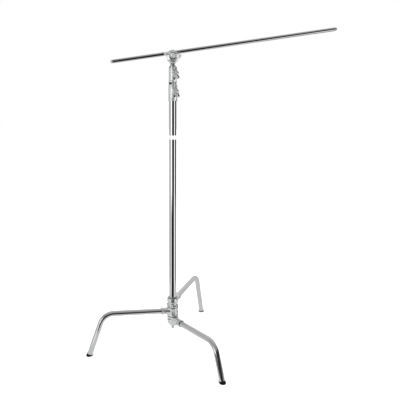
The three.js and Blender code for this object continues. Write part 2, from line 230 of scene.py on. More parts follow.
def sweep(path, radius, segs=24, inner=None, closed=False, up=Vector((0, 1, 0))):
    """Round tube along points, solid with flat ends or hollow with open ends."""
    path = [Vector(p) for p in path]
    n = len(path)
    tangents = []
    for i in range(n):
        if closed:
            t = path[(i + 1) % n] - path[i - 1]
        else:
            t = path[min(i + 1, n - 1)] - path[max(i - 1, 0)]
        tangents.append(t.normalized())
    normal = up - tangents[0] * up.dot(tangents[0])
    if normal.length < 1e-4:
        normal = Vector((1, 0, 0)) - tangents[0] * tangents[0].x
    normal.normalize()
    frames = []
    for i in range(n):
        if i:
            normal = tangents[i - 1].rotation_difference(tangents[i]) @ normal
            normal = (normal - tangents[i] * normal.dot(tangents[i])).normalized()
        frames.append((normal.copy(), tangents[i].cross(normal)))
    verts, faces = [], []
    shells = [radius] if inner is None else [radius, inner]
    for r in shells:
        for p, (a, b) in zip(path, frames):
            for k in range(segs):
                q = 2 * math.pi * k / segs
                verts.append(tuple(p + (a * math.cos(q) + b * math.sin(q)) * r))
    for s in range(len(shells)):
        base = s * n * segs
        for i in range(n if closed else n - 1):
            for k in range(segs):
                m = (k + 1) % segs
                j = (i + 1) % n
                faces.append((base + i * segs + k, base + i * segs + m, base + j * segs + m, base + j * segs + k))
    if not closed:
        if inner is None:
            faces.append(tuple(range(segs)))
            faces.append(tuple((n - 1) * segs + k for k in range(segs)))
        else:
            for i in (0, n - 1):
                for k in range(segs):
                    m = (k + 1) % segs
                    faces.append((i * segs + k, i * segs + m, n * segs + i * segs + m, n * segs + i * segs + k))
    return verts, faces


def threaded(r, z0, z1, pitch, segs=28, depth=None):
    """Threaded rod along Z with a true helix, its ends chamfered."""
    depth = pitch * 0.5 if depth is None else depth
    steps = max(4, int((z1 - z0) / pitch * 6))
    zs = [z0 + (z1 - z0) * i / steps for i in range(steps + 1)]
    verts, faces = [(0, 0, z0)], []
    for z in zs:
        ends = min((z - z0) / pitch, (z1 - z) / pitch, 1)
        for k in range(segs):
            a = 2 * math.pi * k / segs
            ph = (z / pitch - a / (2 * math.pi)) % 1
            tooth = 1 - abs(2 * ph - 1)
            q = r - depth * (1 - tooth) - depth * (1 - ends) * 0.6
            verts.append((q * math.cos(a), q * math.sin(a), z))
    verts.append((0, 0, z1))
    for k in range(segs):
        m = (k + 1) % segs
        faces.append((0, 1 + m, 1 + k))
        for i in range(steps):
            b = 1 + i * segs
            faces.append((b + k, b + m, b + segs + m, b + segs + k))
        b = 1 + steps * segs
        faces.append((b + k, b + m, len(verts) - 1))
    return verts, faces


def show(ob, body, material, slot, *nodes):
    """Dress a piece, say which CAD body it moves with and which CAD nodes it stands for."""
    ob.data.materials.clear()
    ob.data.materials.append(material)
    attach(ob, body)
    if nodes:
        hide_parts(*nodes)
    return ob


# ------------------------------------------------------------------ materials
def material(name):
    m = bpy.data.materials.new(name)
    m.use_nodes = True
    nt = m.node_tree
    return m, nt, nt.nodes["Principled BSDF"]


def add(nt, kind, **values):
    n = nt.nodes.new(kind)
    for k, v in values.items():
        if k in n.inputs:
            n.inputs[k].default_value = v
        else:
            setattr(n, k, v)
    return n


def ramp(nt, source, stops):
    r = nt.nodes.new("ShaderNodeValToRGB")
    while len(r.color_ramp.elements) < len(stops):
        r.color_ramp.elements.new(0.5)
    for e, (p, c) in zip(r.color_ramp.elements, stops):
        e.position = p
        e.color = (c, c, c, 1) if not hasattr(c, "__len__") else (*c, 1)
    nt.links.new(source, r.inputs[0])
    return r.outputs[0]


def metal(name, colour, rough, spread=0.04, grain=0.0, grain_scale=900.0, brushed=None, painted_shade=0.0, wear=0.0, plate=1.0):
    """Plated or bare metal: cloudy roughness, fine grain, optional drawing lines, painted shade in corners (ambient
    occlusion darkening the colour) and worn edges.
    """
    m, nt, p = material(name)
    link = nt.links.new
    p.inputs["Metallic"].default_value = plate
    coord = add(nt, "ShaderNodeTexCoord").outputs["Object"]
    cloud = add(nt, "ShaderNodeTexNoise", Scale=38.0, Detail=4.0, Roughness=0.6)
    link(coord, cloud.inputs["Vector"])
    fine = add(nt, "ShaderNodeTexNoise", Scale=grain_scale, Detail=3.0, Roughness=0.55)
    link(coord, fine.inputs["Vector"])
    smudge = ramp(nt, cloud.outputs["Fac"], [(0.3, rough - spread * 0.5), (0.7, rough + spread)])
    link(smudge, p.inputs["Roughness"])
    dark = tuple(c * 0.93 for c in colour)
    tint = ramp(nt, cloud.outputs["Fac"], [(0.25, dark), (0.75, colour)])
    base = tint
    # painted shade: ambient occlusion darkens the base colour in corners, creases and gaps
    if painted_shade:
        ao = add(nt, "ShaderNodeAmbientOcclusion", Distance=0.006)
        ao.samples = 6
        k = ramp(nt, ao.outputs["AO"], [(0.15, 1 - painted_shade), (0.85, 1.0)])
        mul = add(nt, "ShaderNodeMix", data_type="RGBA", blend_type="MULTIPLY")
        mul.inputs[0].default_value = 1.0
        link(base, mul.inputs[6])
        link(k, mul.inputs[7])
        base = mul.outputs[2]
    if wear:
        geo = add(nt, "ShaderNodeNewGeometry")
        edge = ramp(nt, geo.outputs["Pointiness"], [(0.5, 0.0), (0.58, 1.0)])
        mix = add(nt, "ShaderNodeMix", data_type="RGBA", blend_type="MIX")
        link(edge, mix.inputs[0])
        link(base, mix.inputs[6])
        mix.inputs[7].default_value = (*[min(1, c * (1 + wear)) for c in colour], 1)
        base = mix.outputs[2]
    link(base, p.inputs["Base Color"])
    bump = add(nt, "ShaderNodeBump", Strength=grain, Distance=0.0004)
    height = fine.outputs["Fac"]
    if brushed is not None:
        mapping = add(nt, "ShaderNodeMapping")
        mapping.inputs["Scale"].default_value = brushed
        link(coord, mapping.inputs["Vector"])
        lines = add(nt, "ShaderNodeTexNoise", Scale=1.0, Detail=2.0)
        link(mapping.outputs[0], lines.inputs["Vector"])
        both = add(nt, "ShaderNodeMath", operation="ADD")
        link(fine.outputs["Fac"], both.inputs[0])
        link(lines.outputs["Fac"], both.inputs[1])
        height = both.outputs[0]
    link(height, bump.inputs["Height"])
    link(bump.outputs[0], p.inputs["Normal"])
    return m


def dull(name, colour, rough, scale, bump, spread=0.08, dust=None, shine=0.5):
    """Rubber, plastic, fibre and label film."""
    m, nt, p = material(name)
    link = nt.links.new
    p.inputs["Specular IOR Level"].default_value = shine
    coord = add(nt, "ShaderNodeTexCoord").outputs["Object"]
    n = add(nt, "ShaderNodeTexNoise", Scale=scale, Detail=5.0, Roughness=0.6)
    link(coord, n.inputs["Vector"])
    big = add(nt, "ShaderNodeTexNoise", Scale=scale / 14, Detail=2.0)
    link(coord, big.inputs["Vector"])
    low = tuple(c * 0.8 for c in colour)
    high = dust or tuple(min(1, c * 1.15 + 0.004) for c in colour)
    link(ramp(nt, big.outputs["Fac"], [(0.3, low), (0.7, high)]), p.inputs["Base Color"])
    link(ramp(nt, n.outputs["Fac"], [(0.3, rough - spread), (0.7, rough + spread)]), p.inputs["Roughness"])
    b = add(nt, "ShaderNodeBump", Strength=bump, Distance=0.0006)
    link(n.outputs["Fac"], b.inputs["Height"])
    link(b.outputs[0], p.inputs["Normal"])
    return m


TUBE = metal("chrome_tube", (0.86, 0.865, 0.87), 0.06, spread=0.02, grain=0.006, grain_scale=300)
LEG = metal("chrome_leg", (0.84, 0.845, 0.85), 0.09, spread=0.03, grain=0.008, grain_scale=300)
ROD = metal("chrome_rod", (0.80, 0.805, 0.81), 0.10, spread=0.02, grain=0.005, grain_scale=300)
# castings, collars, handles, jaws, stud, zinc and brass below are darkened in their corners by painted shade (ambient
# occlusion in the base colour)
CAST = metal("chrome_cast", (0.90, 0.905, 0.91), 0.12, spread=0.05, grain=0.025, grain_scale=620, painted_shade=0.85, wear=0.08, plate=0.92)
COLLAR = metal("chrome_collar", (0.84, 0.845, 0.85), 0.17, spread=0.05, grain=0.03, grain_scale=620, painted_shade=0.85, wear=0.08, plate=0.78)
TEE = metal("chrome_tee", (0.90, 0.905, 0.91), 0.13, spread=0.03, grain=0.015, grain_scale=620, painted_shade=0.6, wear=0.06, plate=0.76)
WING = metal("chrome_wing", (0.86, 0.865, 0.87), 0.10, spread=0.03, grain=0.015, grain_scale=620, painted_shade=0.6, wear=0.06)
JAW = metal("chrome_jaw", (0.84, 0.845, 0.85), 0.15, spread=0.05, grain=0.03, grain_scale=800, painted_shade=0.8, wear=0.08, plate=0.8)
# the stud's painted shade is the strongest, darkening its neck in the gap under the head socket
STUD = metal("machined_stud", (0.52, 0.53, 0.54), 0.24, spread=0.06, grain=0.03, grain_scale=1200, painted_shade=0.92, wear=0.1)
ZINC = metal("bright_zinc", (0.60, 0.61, 0.62), 0.28, spread=0.08, grain=0.06, grain_scale=1200, painted_shade=0.35, wear=0.2)
DARK = metal("black_oxide", (0.045, 0.045, 0.048), 0.42, spread=0.10, grain=0.10, grain_scale=1500, wear=1.5)
SPRING = metal("spring_steel", (0.70, 0.705, 0.71), 0.24, spread=0.08, grain=0.06, grain_scale=1500)
BRASS = metal("turned_brass", (0.62, 0.47, 0.20), 0.30, spread=0.10, grain=0.08, grain_scale=1500, painted_shade=0.3)
RUBBER = dull("black_rubber", (0.004, 0.004, 0.004), 0.7, 1400, 0.35, dust=(0.006, 0.0058, 0.0055), shine=0.12)
NYLON = dull("black_nylon", (0.02, 0.02, 0.022), 0.45, 1800, 0.12)
FIBRE = dull("friction_fibre", (0.075, 0.05, 0.035), 0.85, 2600, 0.5)
LABEL = dull("label_film", (0.80, 0.80, 0.79), 0.38, 2200, 0.04, spread=0.04)

# ------------------------------------------------------------------ column tubes
def tube(name, outer, inner, z0, z1, body, node):
    ob = build(name, turn([(inner, z0, 0.3), (outer, z0, 0.6), (outer, z0 + 1.6), (outer, z1 - 1.6), (outer, z1, 0.6), (inner, z1, 0.3), (inner, z1 - 1.2), (inner, z0 + 1.2)], 128, closed=True, seg=3), sharp=30)
    return show(ob, body, TUBE, "chrome_tube", node)


tube("base_column_tube", 17.5, 15.5, 107, 1204, "base", "lower_tube")
tube("first_riser_tube", 15.0, 13.3, 131.3, 1284, "middle_riser", "middle_tube")
tube("second_riser_tube", 12.5, 10.8, 146.3, 1330, "top_riser", "top_tube")
show(build("label_wrap", turn([(17.75, 1004, 0.1), (18.35, 1004, 0.25), (18.35, 1022, 0.25), (17.75, 1022, 0.1)], 128, closed=True, seg=3)),
     "base", LABEL, "white_label", "label_band")

# ------------------------------------------------------------------ legs
def leg_path(leg):
    up = Vector((math.cos(LEG_RISE), 0, math.sin(LEG_RISE)))
    s = leg["splay"] * DEG
    down = Vector((math.sin(s), 0, -math.cos(s)))
    at = lambda r: Vector((r, 0, leg["z0"] + math.tan(LEG_RISE) * r))
    corner = at(leg["corner"])
    foot = corner + down * (corner.z / math.cos(s))
    angle = up.angle(down)
    back = BEND_R * math.tan(angle / 2)
    centre = corner - up * back + Vector((up.z, 0, -up.x)) * BEND_R
    pts = [at(24.6), at(24.9), corner - up * (back + 1.0)]
    for i in range(29):
        a = angle * i / 28
        t = Matrix.Rotation(a, 3, "Y") @ up
        pts.append(centre - Vector((t.z, 0, -t.x)) * BEND_R)
    end = foot - down * 9.0
    pts += [corner + down * (back + 1.0), end - down * 0.3, end]
    return pts, up, down, foot, at


# bush screws in each hub: bearing in degrees about the column, height in mm
PINS = {"front": [(-128, 134.0), (-20, 134.5), (150, 130.0)], "left": [(-36, 172.0), (-92, 163.0), (64, 170.0)], "back": [(-80, 203.0), (-42, 203.5), (-168, 206.5)]}


def hub_shapes(key, leg, at, up):
    z0, z1 = leg["hub"]
    zs = leg["z0"]
    parts = []
    if key == "front":
        parts.append(turn([(0, 92), (9.6, 92, 1.5), (11.5, 96, 2), (19.5, 104, 4), (24, 108, 4), (25.6, 116, 2), (25.8, 121, 2),
                           (28, 124, 1.2), (28, 131, 1.2), (26.4, 133.5, 2), (26.4, 139, 2), (27.6, 141, 1), (27.6, 146, 1), (0, 146)], 96))
        for a in (180, 68, 0):    # ribs down the cone
            rib = plate([(8, 95), (13, 94), (22, 103), (27.4, 118), (27.4, 126), (10, 126)], 6.5)
            parts.append(moved(rib, Matrix.Rotation((a - leg["az"]) * DEG, 4, "Z")))
    elif key == "back":
        parts.append(turn([(0, z0), (27.6, z0, 1), (28, z0 + 4.5, 1), (25.4, z0 + 7, 1.5), (24.0, z0 + 10, 1.5), (23.6, z0 + 20.5, 1), (27.9, z0 + 22.5, 0.8), (28, z1 - 6, 1.2), (27.2, z1, 1.4), (0, z1)], 96))
    else:
        parts.append(turn([(0, z0), (27.8, z0, 1.2), (28, z0 + 6, 1.2), (26.3, z0 + 8.5, 2), (26.3, z1 - 8.5, 2), (28, z1 - 6, 1.2), (27.8, z1, 1.2), (0, z1)], 96))
    for a, z in PINS[key]:        # bosses for the screws that hold the bushes
        lug = turn([(0, 18), (6.4, 18), (6.0, 28.6, 1.6), (4.6, 29.6, 1.0), (0, 29.6)], 32)
        parts.append(moved(lug, Matrix.Rotation((a - leg["az"]) * DEG, 4, "Z") @ aim((1, 0, 0), (0, 0, z))))
    length = leg["socket"] - 14
    socket = turn([(0, 0), (19.5, 0, 1), (18.2, 10, 3), (16.4, 20 if length > 50 else 14, 4), (16.4, length - 7.5, 1.2), (18.2, length - 5.5, 1.2),
                   (18.2, length - 1, 0.8), (17.4, length, 0.5), (0, length)], 72)
    parts.append(moved(socket, aim(up, at(14))))
    low = at(leg["socket"] - 12).z - 15.0
    web = plate([(18, zs - 20.5 if key != "front" else zs - 26), (leg["socket"] - 10, low + 2.0), (leg["socket"] - 10, low + 6), (18, zs)], 8.5)
    parts.append(web)
    rib = plate([(18, zs + 19.5), (leg["socket"] - 14, at(leg["socket"] - 14).z + 16.0), (leg["socket"] - 14, at(leg["socket"]).z + 8), (18, zs)], 7.0)
    parts.append(rib)
    return parts


def rivet(r, head, half):
    """Cross pin with a domed head at each end."""
    return turn([(0, -half), (head * 0.45, -half + 0.15, 0.5), (head * 0.85, -half + 0.8, 0.6), (head, -half + 1.5, 0.2), (head, -half + 1.75, 0.1), (r, -half + 1.75),
                 (r, half - 1.75), (head, half - 1.75, 0.1), (head, half - 1.5, 0.2), (head * 0.85, half - 0.8, 0.6), (head * 0.45, half - 0.15, 0.5), (0, half)], 32)


for key, leg in LEGS.items():
    pts, up, down, foot, at = leg_path(leg)
    swing = Matrix.Rotation(leg["az"] * DEG, 4, "Z")
    body = leg["body"]
    show(build(f"{key}_leg_bent_tube", sweep(pts, LEG_OD / 2, 56, LEG_ID / 2), swing, sharp=50), body, LEG, "chrome_tube", f"{key}_leg_tube")

    z0, z1 = leg["hub"]
    bore = turn([(0, z0 - 20 if key != "front" else 106.5), (18.15 if key != "front" else 17.95, z0 - 20 if key != "front" else 106.5),
                 (18.15 if key != "front" else 17.95, z1 - 1.2), (19.2, z1), (19.2, z1 + 15), (0, z1 + 15)], 96)
    tools = [bore]
    if key != "front":
        tools.append(turn([(0, z0 - 8), (19.2, z0 - 8), (19.2, z0), (18.1, z0 + 1.2), (0, z0 + 1.2)], 96))
    else:
        tools.append(turn([(0, 80), (5.3, 80), (5.3, 120), (0, 120)], 32))
    length = leg["socket"] - 24
    tools.append(moved(turn([(0, 0), (13.05, 0), (13.05, length - 0.8), (14.0, length + 0.4), (14.0, length + 20), (0, length + 20)], 72), aim(up, at(24))))
    tools.append(moved(turn([(0, -30), (2.85, -30), (2.85, 30), (0, 30)], 24), aim((0, 1, 0), at(leg["socket"] - 18))))
    for a, z in PINS[key]:
        tools.append(moved(turn([(0, 24), (3.5, 24), (3.5, 60), (0, 60)], 28), Matrix.Rotation((a - leg["az"]) * DEG, 4, "Z") @ aim((1, 0, 0), (0, 0, z))))
    hub = cast(f"{key}_hub_casting", hub_shapes(key, leg, at, up), tools, swing, voxel=0.85, rounds=6, ratio=0.42)
    heads = []
    for a, z in PINS[key]:
        m = Matrix.Rotation(a * DEG, 4, "Z") @ aim((1, 0, 0), (0, 0, z)) @ Matrix.Translation((0, 0, 24.1))
        heads += [moved(turn([(0, 0), (3.3, 0), (3.3, 4.0, 0.2), (2.9, 4.6, 0.35), (1.75, 4.6, 0.1), (1.7, 2.2), (0, 2.2)], 30), m)]
    show(build(f"{key}_hub_bush_screws", heads), body, DARK, "dark_steel")
    show(hub, body, CAST, "chrome_cast", f"{key}_leg_hub")
    show(build(f"{key}_cross_rivet", rivet(2.5, 4.3, 18.7), swing @ aim((0, 1, 0), at(leg["socket"] - 18))), body, ZINC, "steel_fitting", f"{key}_leg_pin")

    # rubber cap: ribbed flange outside, plug inside the tube, cut flat where it stands
    cap = turn([(0, -21), (9.6, -21, 1.0), (10.75, -19, 0.8), (10.75, -8.7), (13.5, -8.7, 0.7), (14.1, -7.6, 0.5), (14.1, -5.2, 0.4), (13.6, -4.8, 0.2), (13.6, -4.0, 0.2), (14.2, -3.6, 0.4),
                (14.2, 0.2, 0.2), (14.2, 14), (0, 14)], 72)
    rubber = build(f"{key}_rubber_foot", cap, swing @ aim(down, foot))
    f = swing @ foot
    cut(rubber, [build("floor_cut", block(f.x - 60, f.x + 60, f.y - 60, f.y + 60, -60, 0.02))], sharp=45)
    show(rubber, body, RUBBER, "foot_rubber", f"{key}_foot_cap")


# ------------------------------------------------------------------ base fittings
def hexagon(across, z0, z1, chamfer=0.8):
    """Hexagon with turned chamfers, a ring of rows so that its corners stay crisp."""
    rad = across / math.sqrt(3)
    def shape(r, z, a):
        k = (a + math.pi / 6) % (math.pi / 3) - math.pi / 6
        return min(r, across / 2 / math.cos(k))
    return turn([(0, z0), (across / 2 * 0.92, z0), (rad, z0 + chamfer), (rad, z1 - chamfer), (across / 2 * 0.96, z1), (0, z1)], 96, radius=shape)


bolt = build("base_end_screw", [hexagon(13.0, 80.1, 87.2), turn([(0, 86.8), (7.3, 86.8, 0.3), (7.3, 91.4, 0.3), (0, 91.4)], 64), threaded(4.8, 91.2, 120.4, 1.25)])
show(bolt, "base", ZINC, "steel_fitting", "base_end_bolt")
for name, z in (("lower_thrust_washer", 146.3), ("upper_thrust_washer", 192.3)):
    show(build(name + "_ring", turn([(18.2, z, 0.3), (25.5, z, 0.4), (25.5, z + 2, 0.4), (18.2, z + 2, 0.3)], 96, closed=True)), "base", NYLON, "guide_nylon", name)

# wave spring: three waves round a flat ring
wv, wf = turn([(18.7, 0, 0.05), (23.9, 0, 0.05), (23.9, 0.7, 0.05), (18.7, 0.7, 0.05)], 120, closed=True)
wv = [(x, y, z + 238.2 + 0.45 * (1 + math.sin(3 * math.atan2(y, x)))) for x, y, z in wv]
show(build("wave_spring_ring", (wv, wf)), "base", SPRING, "dark_steel", "wave_spring")

ring = build("snap_ring", turn([(17.95, 240.25, 0.3), (22.4, 240.25, 0.4), (22.4, 243.1, 0.4), (17.95, 243.1, 0.3)], 128, closed=True))
cut(ring, [build("t", block(-3.2, 3.2, -40, -10, 230, 260), Matrix.Rotation(24 * DEG, 4, "Z"))])
show(ring, "base", SPRING, "dark_steel", "retaining_ring")


def socket_screw(r, length, head):
    """Cup-point set screw with a low head and a hexagon socket, along +Z, its outer face at z = length."""
    ob = turn([(0, 0), (r - 0.6, 0, 0.2), (r, 0.8, 0.2), (r, length - 1.7), (head, length - 1.6, 0.2), (head, length - 0.4, 0.2), (head - 0.5, length, 0.2), (0, length)], 40)
    return ob, hexagon(r * 1.05, length - 1.3, length + 2, 0.01)


def set_screw(name, r, start, length, azimuth, z, body, *nodes, head=3.9):
    m = Matrix.Rotation(azimuth, 4, "Z") @ aim((1, 0, 0), (0, 0, z)) @ Matrix.Translation((0, 0, start))
    shape, hexa = socket_screw(r, length, head)
    ob = build(name, shape, m)
    cut(ob, [build("t", hexa, m)])
    show(ob, body, DARK, "dark_steel", *nodes)



# ------------------------------------------------------------------ clamp collars and their T handles
def collar_shapes(c0, c1, rb, rt, r0, sz, dz):
    """Sleeve with a foot flange and a top lip, the screw boss with its webs, the set screw's boss and the rib above it. Clamp boss along +X."""
    parts = [turn([(0, c0), (rb - 1.0, c0, 0.6), (rb, c0 + 1.4, 0.6), (rb, c0 + 6.5, 0.8), (rb - 1.7, c0 + 8.5, 1.2), (rt + 0.3, c1 - 17, 3), (rt - 0.3, c1 - 9, 2), (rt + 0.5, c1 - 7, 0.6), (rt + 0.5, c1 - 3.4, 0.6),
                   (rt - 1.2, c1 - 1.0, 1.0), (rt - 2.2, c1, 0.5), (0, c1)], 96)]
    boss = turn([(0, 4), (12.4, 4, 1), (11.4, r0 + 6, 3), (11.0, r0 + 10.5, 1.5), (9.6, r0 + 13.4, 1.2), (0, r0 + 13.4)], 64)
    parts.append(moved(boss, aim((1, 0, 0), (0, 0, sz))))
    parts.append(plate([(8, c0 + 1), (rb + 1.0, c0 + 2), (rb + 2.0, c0 + 10), (r0 + 11.5, sz - 8), (r0 + 11, sz), (8, sz)], 7.0))
    parts.append(plate([(8, sz), (r0 + 10, sz + 2), (r0 + 8.5, sz + 10.5), (rt + 1.0, c1 - 10), (8, c1 - 7)], 6.5))
    lug = turn([(0, 10), (7.4, 10), (6.8, rb + 0.2, 1.2), (5.8, rb + 1.2, 0.8), (0, rb + 1.2)], 36)
    parts.append(moved(lug, Matrix.Rotation(-72 * DEG - SCREW_AZ, 4, "Z") @ aim((1, 0, 0), (0, 0, c0 + dz))))
    n = 28
    for i in range(n):            # leaning rib, from the top lip down to the set screw's boss
        t = i / (n - 1)
        ang, z = (-97 + 19 * t) * DEG - SCREW_AZ, (c1 - 9) * (1 - t) + (c0 + dz + 4) * t
        parts.append(moved(turn([(0, 8), (2.9, 8), (2.6, rb + 0.3, 0.8), (1.8, rb + 1.0, 0.5), (0, rb + 1.0)], 20), Matrix.Rotation(ang, 4, "Z") @ aim((1, 0, 0), (0, 0, z))))
    return parts


def wing_bar(half, mid, end, flat=0.82):
    """T handle's crossbar along Z: slim at the middle, swelling to rounded wings."""
    v, f = turn([(0, -half), (end * 0.62, -half + 0.8, 2.2), (end, -half + 5.5, 3.5), (end * 0.9, -half + 11, 5), (mid, -half + 19 if half > 30 else -half + 15, 6), (mid, 0),
                 (mid, half - 19 if half > 30 else half - 15, 6), (end * 0.9, half - 11, 5), (end, half - 5.5, 3.5), (end * 0.62, half - 0.8, 2.2), (0, half)], 56, seg=6)
    return [(x * flat, y, z) for x, y, z in v], f


def handle(name, r0, half, end=7.0):
    """Cast T handle about the screw axis +X: tapered hub and crossbar."""
    hub = BAR_AT + r0
    body = moved(turn([(0, hub - 9.6), (8.2, hub - 9.6, 0.8), (8.6, hub - 5, 1.5), (7.6, hub + 3, 3), (6.6, hub + 6.6, 2), (4.5, hub + 8.3, 1.5), (0, hub + 8.5)], 64), aim((1, 0, 0)))
    bar = moved(wing_bar(half, 4.9, end), Matrix.Translation((hub, 0, 0)) @ Matrix.Rotation(LEAN, 4, "X"))
    return [body, bar]


def clamp(name, r0, frame_matrix, pad_body, screw_body, half):
    """Pad, threaded screw and T handle of one clamp, along the frame's +X."""
    hub = BAR_AT + r0
    pad = build(f"{name}_brass_pad", turn([(0, r0 + 0.4), (5.3, r0 + 0.4, 0.3), (5.6, r0 + 0.8, 0.3), (5.6, r0 + 1.8, 0.2), (0, r0 + 1.9)], 48), frame_matrix @ aim((1, 0, 0)))
    show(pad, pad_body, BRASS, "clamp_brass", f"{name}_clamp_pad")
    stem = build(f"{name}_thread", threaded(4.0, r0 + 2.2, hub - 8.5, 1.25), frame_matrix @ aim((1, 0, 0)))
    show(stem, screw_body, ZINC, "steel_fitting", f"{name}_clamp_screw")
    tee = cast(f"{name}_tee_handle", handle(name, r0, half), [], frame_matrix, voxel=0.5, rounds=7, ratio=0.35)
    show(tee, screw_body, WING, "chrome_cast", f"{name}_clamp_handle", f"{name}_clamp_screw")


def collar(name, c0, c1, rb, rt, r0, tube_r, tube_top, sz, body, node):
    m = Matrix.Rotation(SCREW_AZ, 4, "Z")
    dz = 21 if name == "lower" else 15
    tools = [turn([(0, c0 - 10), (tube_r + 1.2, c0 - 10), (tube_r + 1.2, c0), (tube_r + 0.42, c0 + 0.9), (tube_r + 0.42, tube_top + 0.4), (0, tube_top + 0.4)], 128),
             turn([(0, c0), (r0 + 0.42, c0), (r0 + 0.42, c1 - 0.9), (r0 + 1.3, c1), (r0 + 1.3, c1 + 10), (0, c1 + 10)], 128),
             moved(turn([(0, 0), (4.65, 0), (4.65, r0 + 12.6), (5.6, r0 + 13.6), (5.6, r0 + 40), (0, r0 + 40)], 40), aim((1, 0, 0), (0, 0, sz))),
             moved(turn([(0, 0), (6.15, 0), (6.15, r0 + 5), (0, r0 + 5)], 40), aim((1, 0, 0), (0, 0, sz)))]
    out = rb - 1.8
    tools.append(moved(turn([(0, 8), (3.05, 8), (3.05, out - 2.2), (4.35, out - 2.2), (4.35, 40), (0, 40)], 32), Matrix.Rotation(-72 * DEG - SCREW_AZ, 4, "Z") @ aim((1, 0, 0), (0, 0, c0 + dz))))
    if name == "upper":           # screw near the top lip that holds the bush
        tools.append(moved(turn([(0, 8), (3.6, 8), (3.6, 40), (0, 40)], 32), Matrix.Rotation(-131 * DEG - SCREW_AZ, 4, "Z") @ aim((1, 0, 0), (0, 0, c1 - 6.5))))
        set_screw("upper_collar_bush_screw", 2.6, 14.2, 2.9, -131 * DEG, c1 - 6.5, body, head=3.4)
    if name == "upper":           # key of the guide bush, showing in the gap under the collar; its black stands in as painted shade for that gap
        bush = build("painted_shade_key", turn([(r0 + 2.9, c0 - 7.2, 0.4), (rb - 0.3, c0 - 7.2, 0.5), (rb - 0.3, c0 - 0.05, 0.4), (r0 + 2.9, c0 - 0.05, 0.3)], 128, closed=True))
        cut(bush, [build("t", block(0, 30, -7.6, 7.6, c0 - 15, c0 + 20), Matrix.Rotation(-131 * DEG, 4, "Z"))], "INTERSECT")
        show(bush, body, NYLON, "guide_nylon")
        flange = build("guide_bush_flange", turn([(r0 + 2.7, c0 - 7.2, 0.3), (rb - 1.0, c0 - 7.2, 0.6), (rb - 1.0, c0 - 0.05, 0.6), (r0 + 2.7, c0 - 0.05, 0.3)], 128, closed=True))
        cut(flange, [build("t", block(0, 30, -7.9, 7.9, c0 - 15, c0 + 20), Matrix.Rotation(-131 * DEG, 4, "Z"))])
        show(flange, body, COLLAR, "chrome_cast")
    ob = cast(f"{name}_collar_casting", collar_shapes(c0, c1, rb, rt, r0, sz, dz), tools, m, voxel=0.7, rounds=5, ratio=0.42)
    show(ob, body, COLLAR, "chrome_cast", node)


collar("lower", 1176, 1249, 21.8, 19.6, 15.0, 17.5, 1204, 1217, "base", "lower_collar")
collar("upper", 1257, 1328.5, 19.4, 17.8, 12.5, 15.0, 1284, 1296, "middle_riser", "upper_collar")
set_screw("lower_collar_set_screw", 2.8, 18.0, 4.2, -72 * DEG, 1197, "base", "lower_collar_screw")
set_screw("upper_collar_set_screw", 2.8, 15.5, 4.4, -72 * DEG, 1272, "middle_riser", "upper_collar_screw")
for name, r0, z, half in (("lower", 15.0, 1217, 27), ("upper", 12.5, 1296, 27)):
    clamp(name, r0, Matrix.Translation((0, 0, z)) @ Matrix.Rotation(SCREW_AZ, 4, "Z"), f"{name}_clamp_pad_slider", f"{name}_clamp_screw_turner", half)
clamp("stud", 8.0, Matrix.Translation((0, 0, 1357)) @ Matrix.Rotation(90 * DEG, 4, "Z"), "stud_clamp_pad_slider", "stud_clamp_screw_turner", 24)

# ------------------------------------------------------------------ stud
stud = build("spigot_stud", turn([(0, 1300), (10.2, 1300, 0.5), (10.35, 1301, 0.3), (10.35, 1330.3), (12.3, 1330.3, 0.2), (12.3, 1331.6, 0.5), (8.4, 1332.4, 0.6), (8, 1334, 0.5), (8, 1350, 0.5), (6.6, 1351.6, 0.8),
                                  (6.6, 1362.4, 0.8), (8, 1364, 0.5), (8, 1374.3, 0.8), (6.6, 1376, 0.5), (0, 1376)], 96))
show(stud, "top_riser", STUD, "steel_fitting", "stud")

# ------------------------------------------------------------------ grip head
FRONT = Matrix.Translation((0, 0, BOLT_Z)) @ aim((0, -1, 0))
socket = turn([(0, 1339), (12.8, 1339, 1.0), (14.2, 1341, 1.0), (14.2, 1346, 1.0), (13.2, 1348, 1.2), (13.2, 1378, 1.5), (11.5, 1381.6, 2.0), (6, 1382.5, 1), (0, 1382.5)], 80)
face = moved(turn([(0, 5), (14, 5, 2), (16, 11, 4), (23.2, 12.2, 1.5), (24.9, 13.4, 0.8), (24.9, 18.6, 0.6), (24.1, 19.5, 0.4), (0, 19.5)], 96), FRONT)
boss = moved(turn([(0, 2), (11, 2, 1), (10.4, 15, 2), (9.2, 20, 1.2), (0, 20)], 64), aim((0, 1, 0), (0, 0, 1357)))
neck = block(-10.5, 10.5, -14, -3, 1341, 1380)
head = cast("head_socket_casting", [socket, face, boss, neck],
            [turn([(0, 1320), (9.6, 1320), (9.6, 1339), (8.42, 1340.2), (8.42, 1378), (0, 1378)], 72),
             moved(turn([(0, 8), (5.8, 8), (5.8, 30), (0, 30)], 40), FRONT),
             moved(turn([(0, 0), (4.65, 0), (4.65, 40), (0, 40)], 40), aim((0, 1, 0), (0, 0, 1357))),
             moved(turn([(0, 0), (6.15, 0), (6.15, 13), (0, 13)], 40), aim((0, 1, 0), (0, 0, 1357)))], voxel=0.7, rounds=8, ratio=0.4)
show(head, "grip_head", COLLAR, "chrome_cast", "head_socket")
show(build("friction_plate", turn([(6.5, 19.8, 0.2), (24, 19.8, 0.3), (24, 21.3, 0.3), (6.5, 21.3, 0.2)], 96, closed=True), FRONT), "grip_head", FIBRE, "friction_fibre", "friction_disc")
show(build("centre_stud_bolt", [turn([(0, 10.4), (5.4, 10.4, 0.3), (5.4, 30), (5.4, 34, 0.2), (0, 34)], 48), threaded(5.3, 33.5, 66, 1.5)], FRONT), "grip_head", ZINC, "steel_fitting", "centre_bolt")

# jaws: turned rims and rod grooves of two sizes
JAWS = Matrix.Translation((0, 0, BOLT_Z)) @ Matrix.Rotation(-TILT, 4, "Y")
TO_FRONT = aim((0, -1, 0))


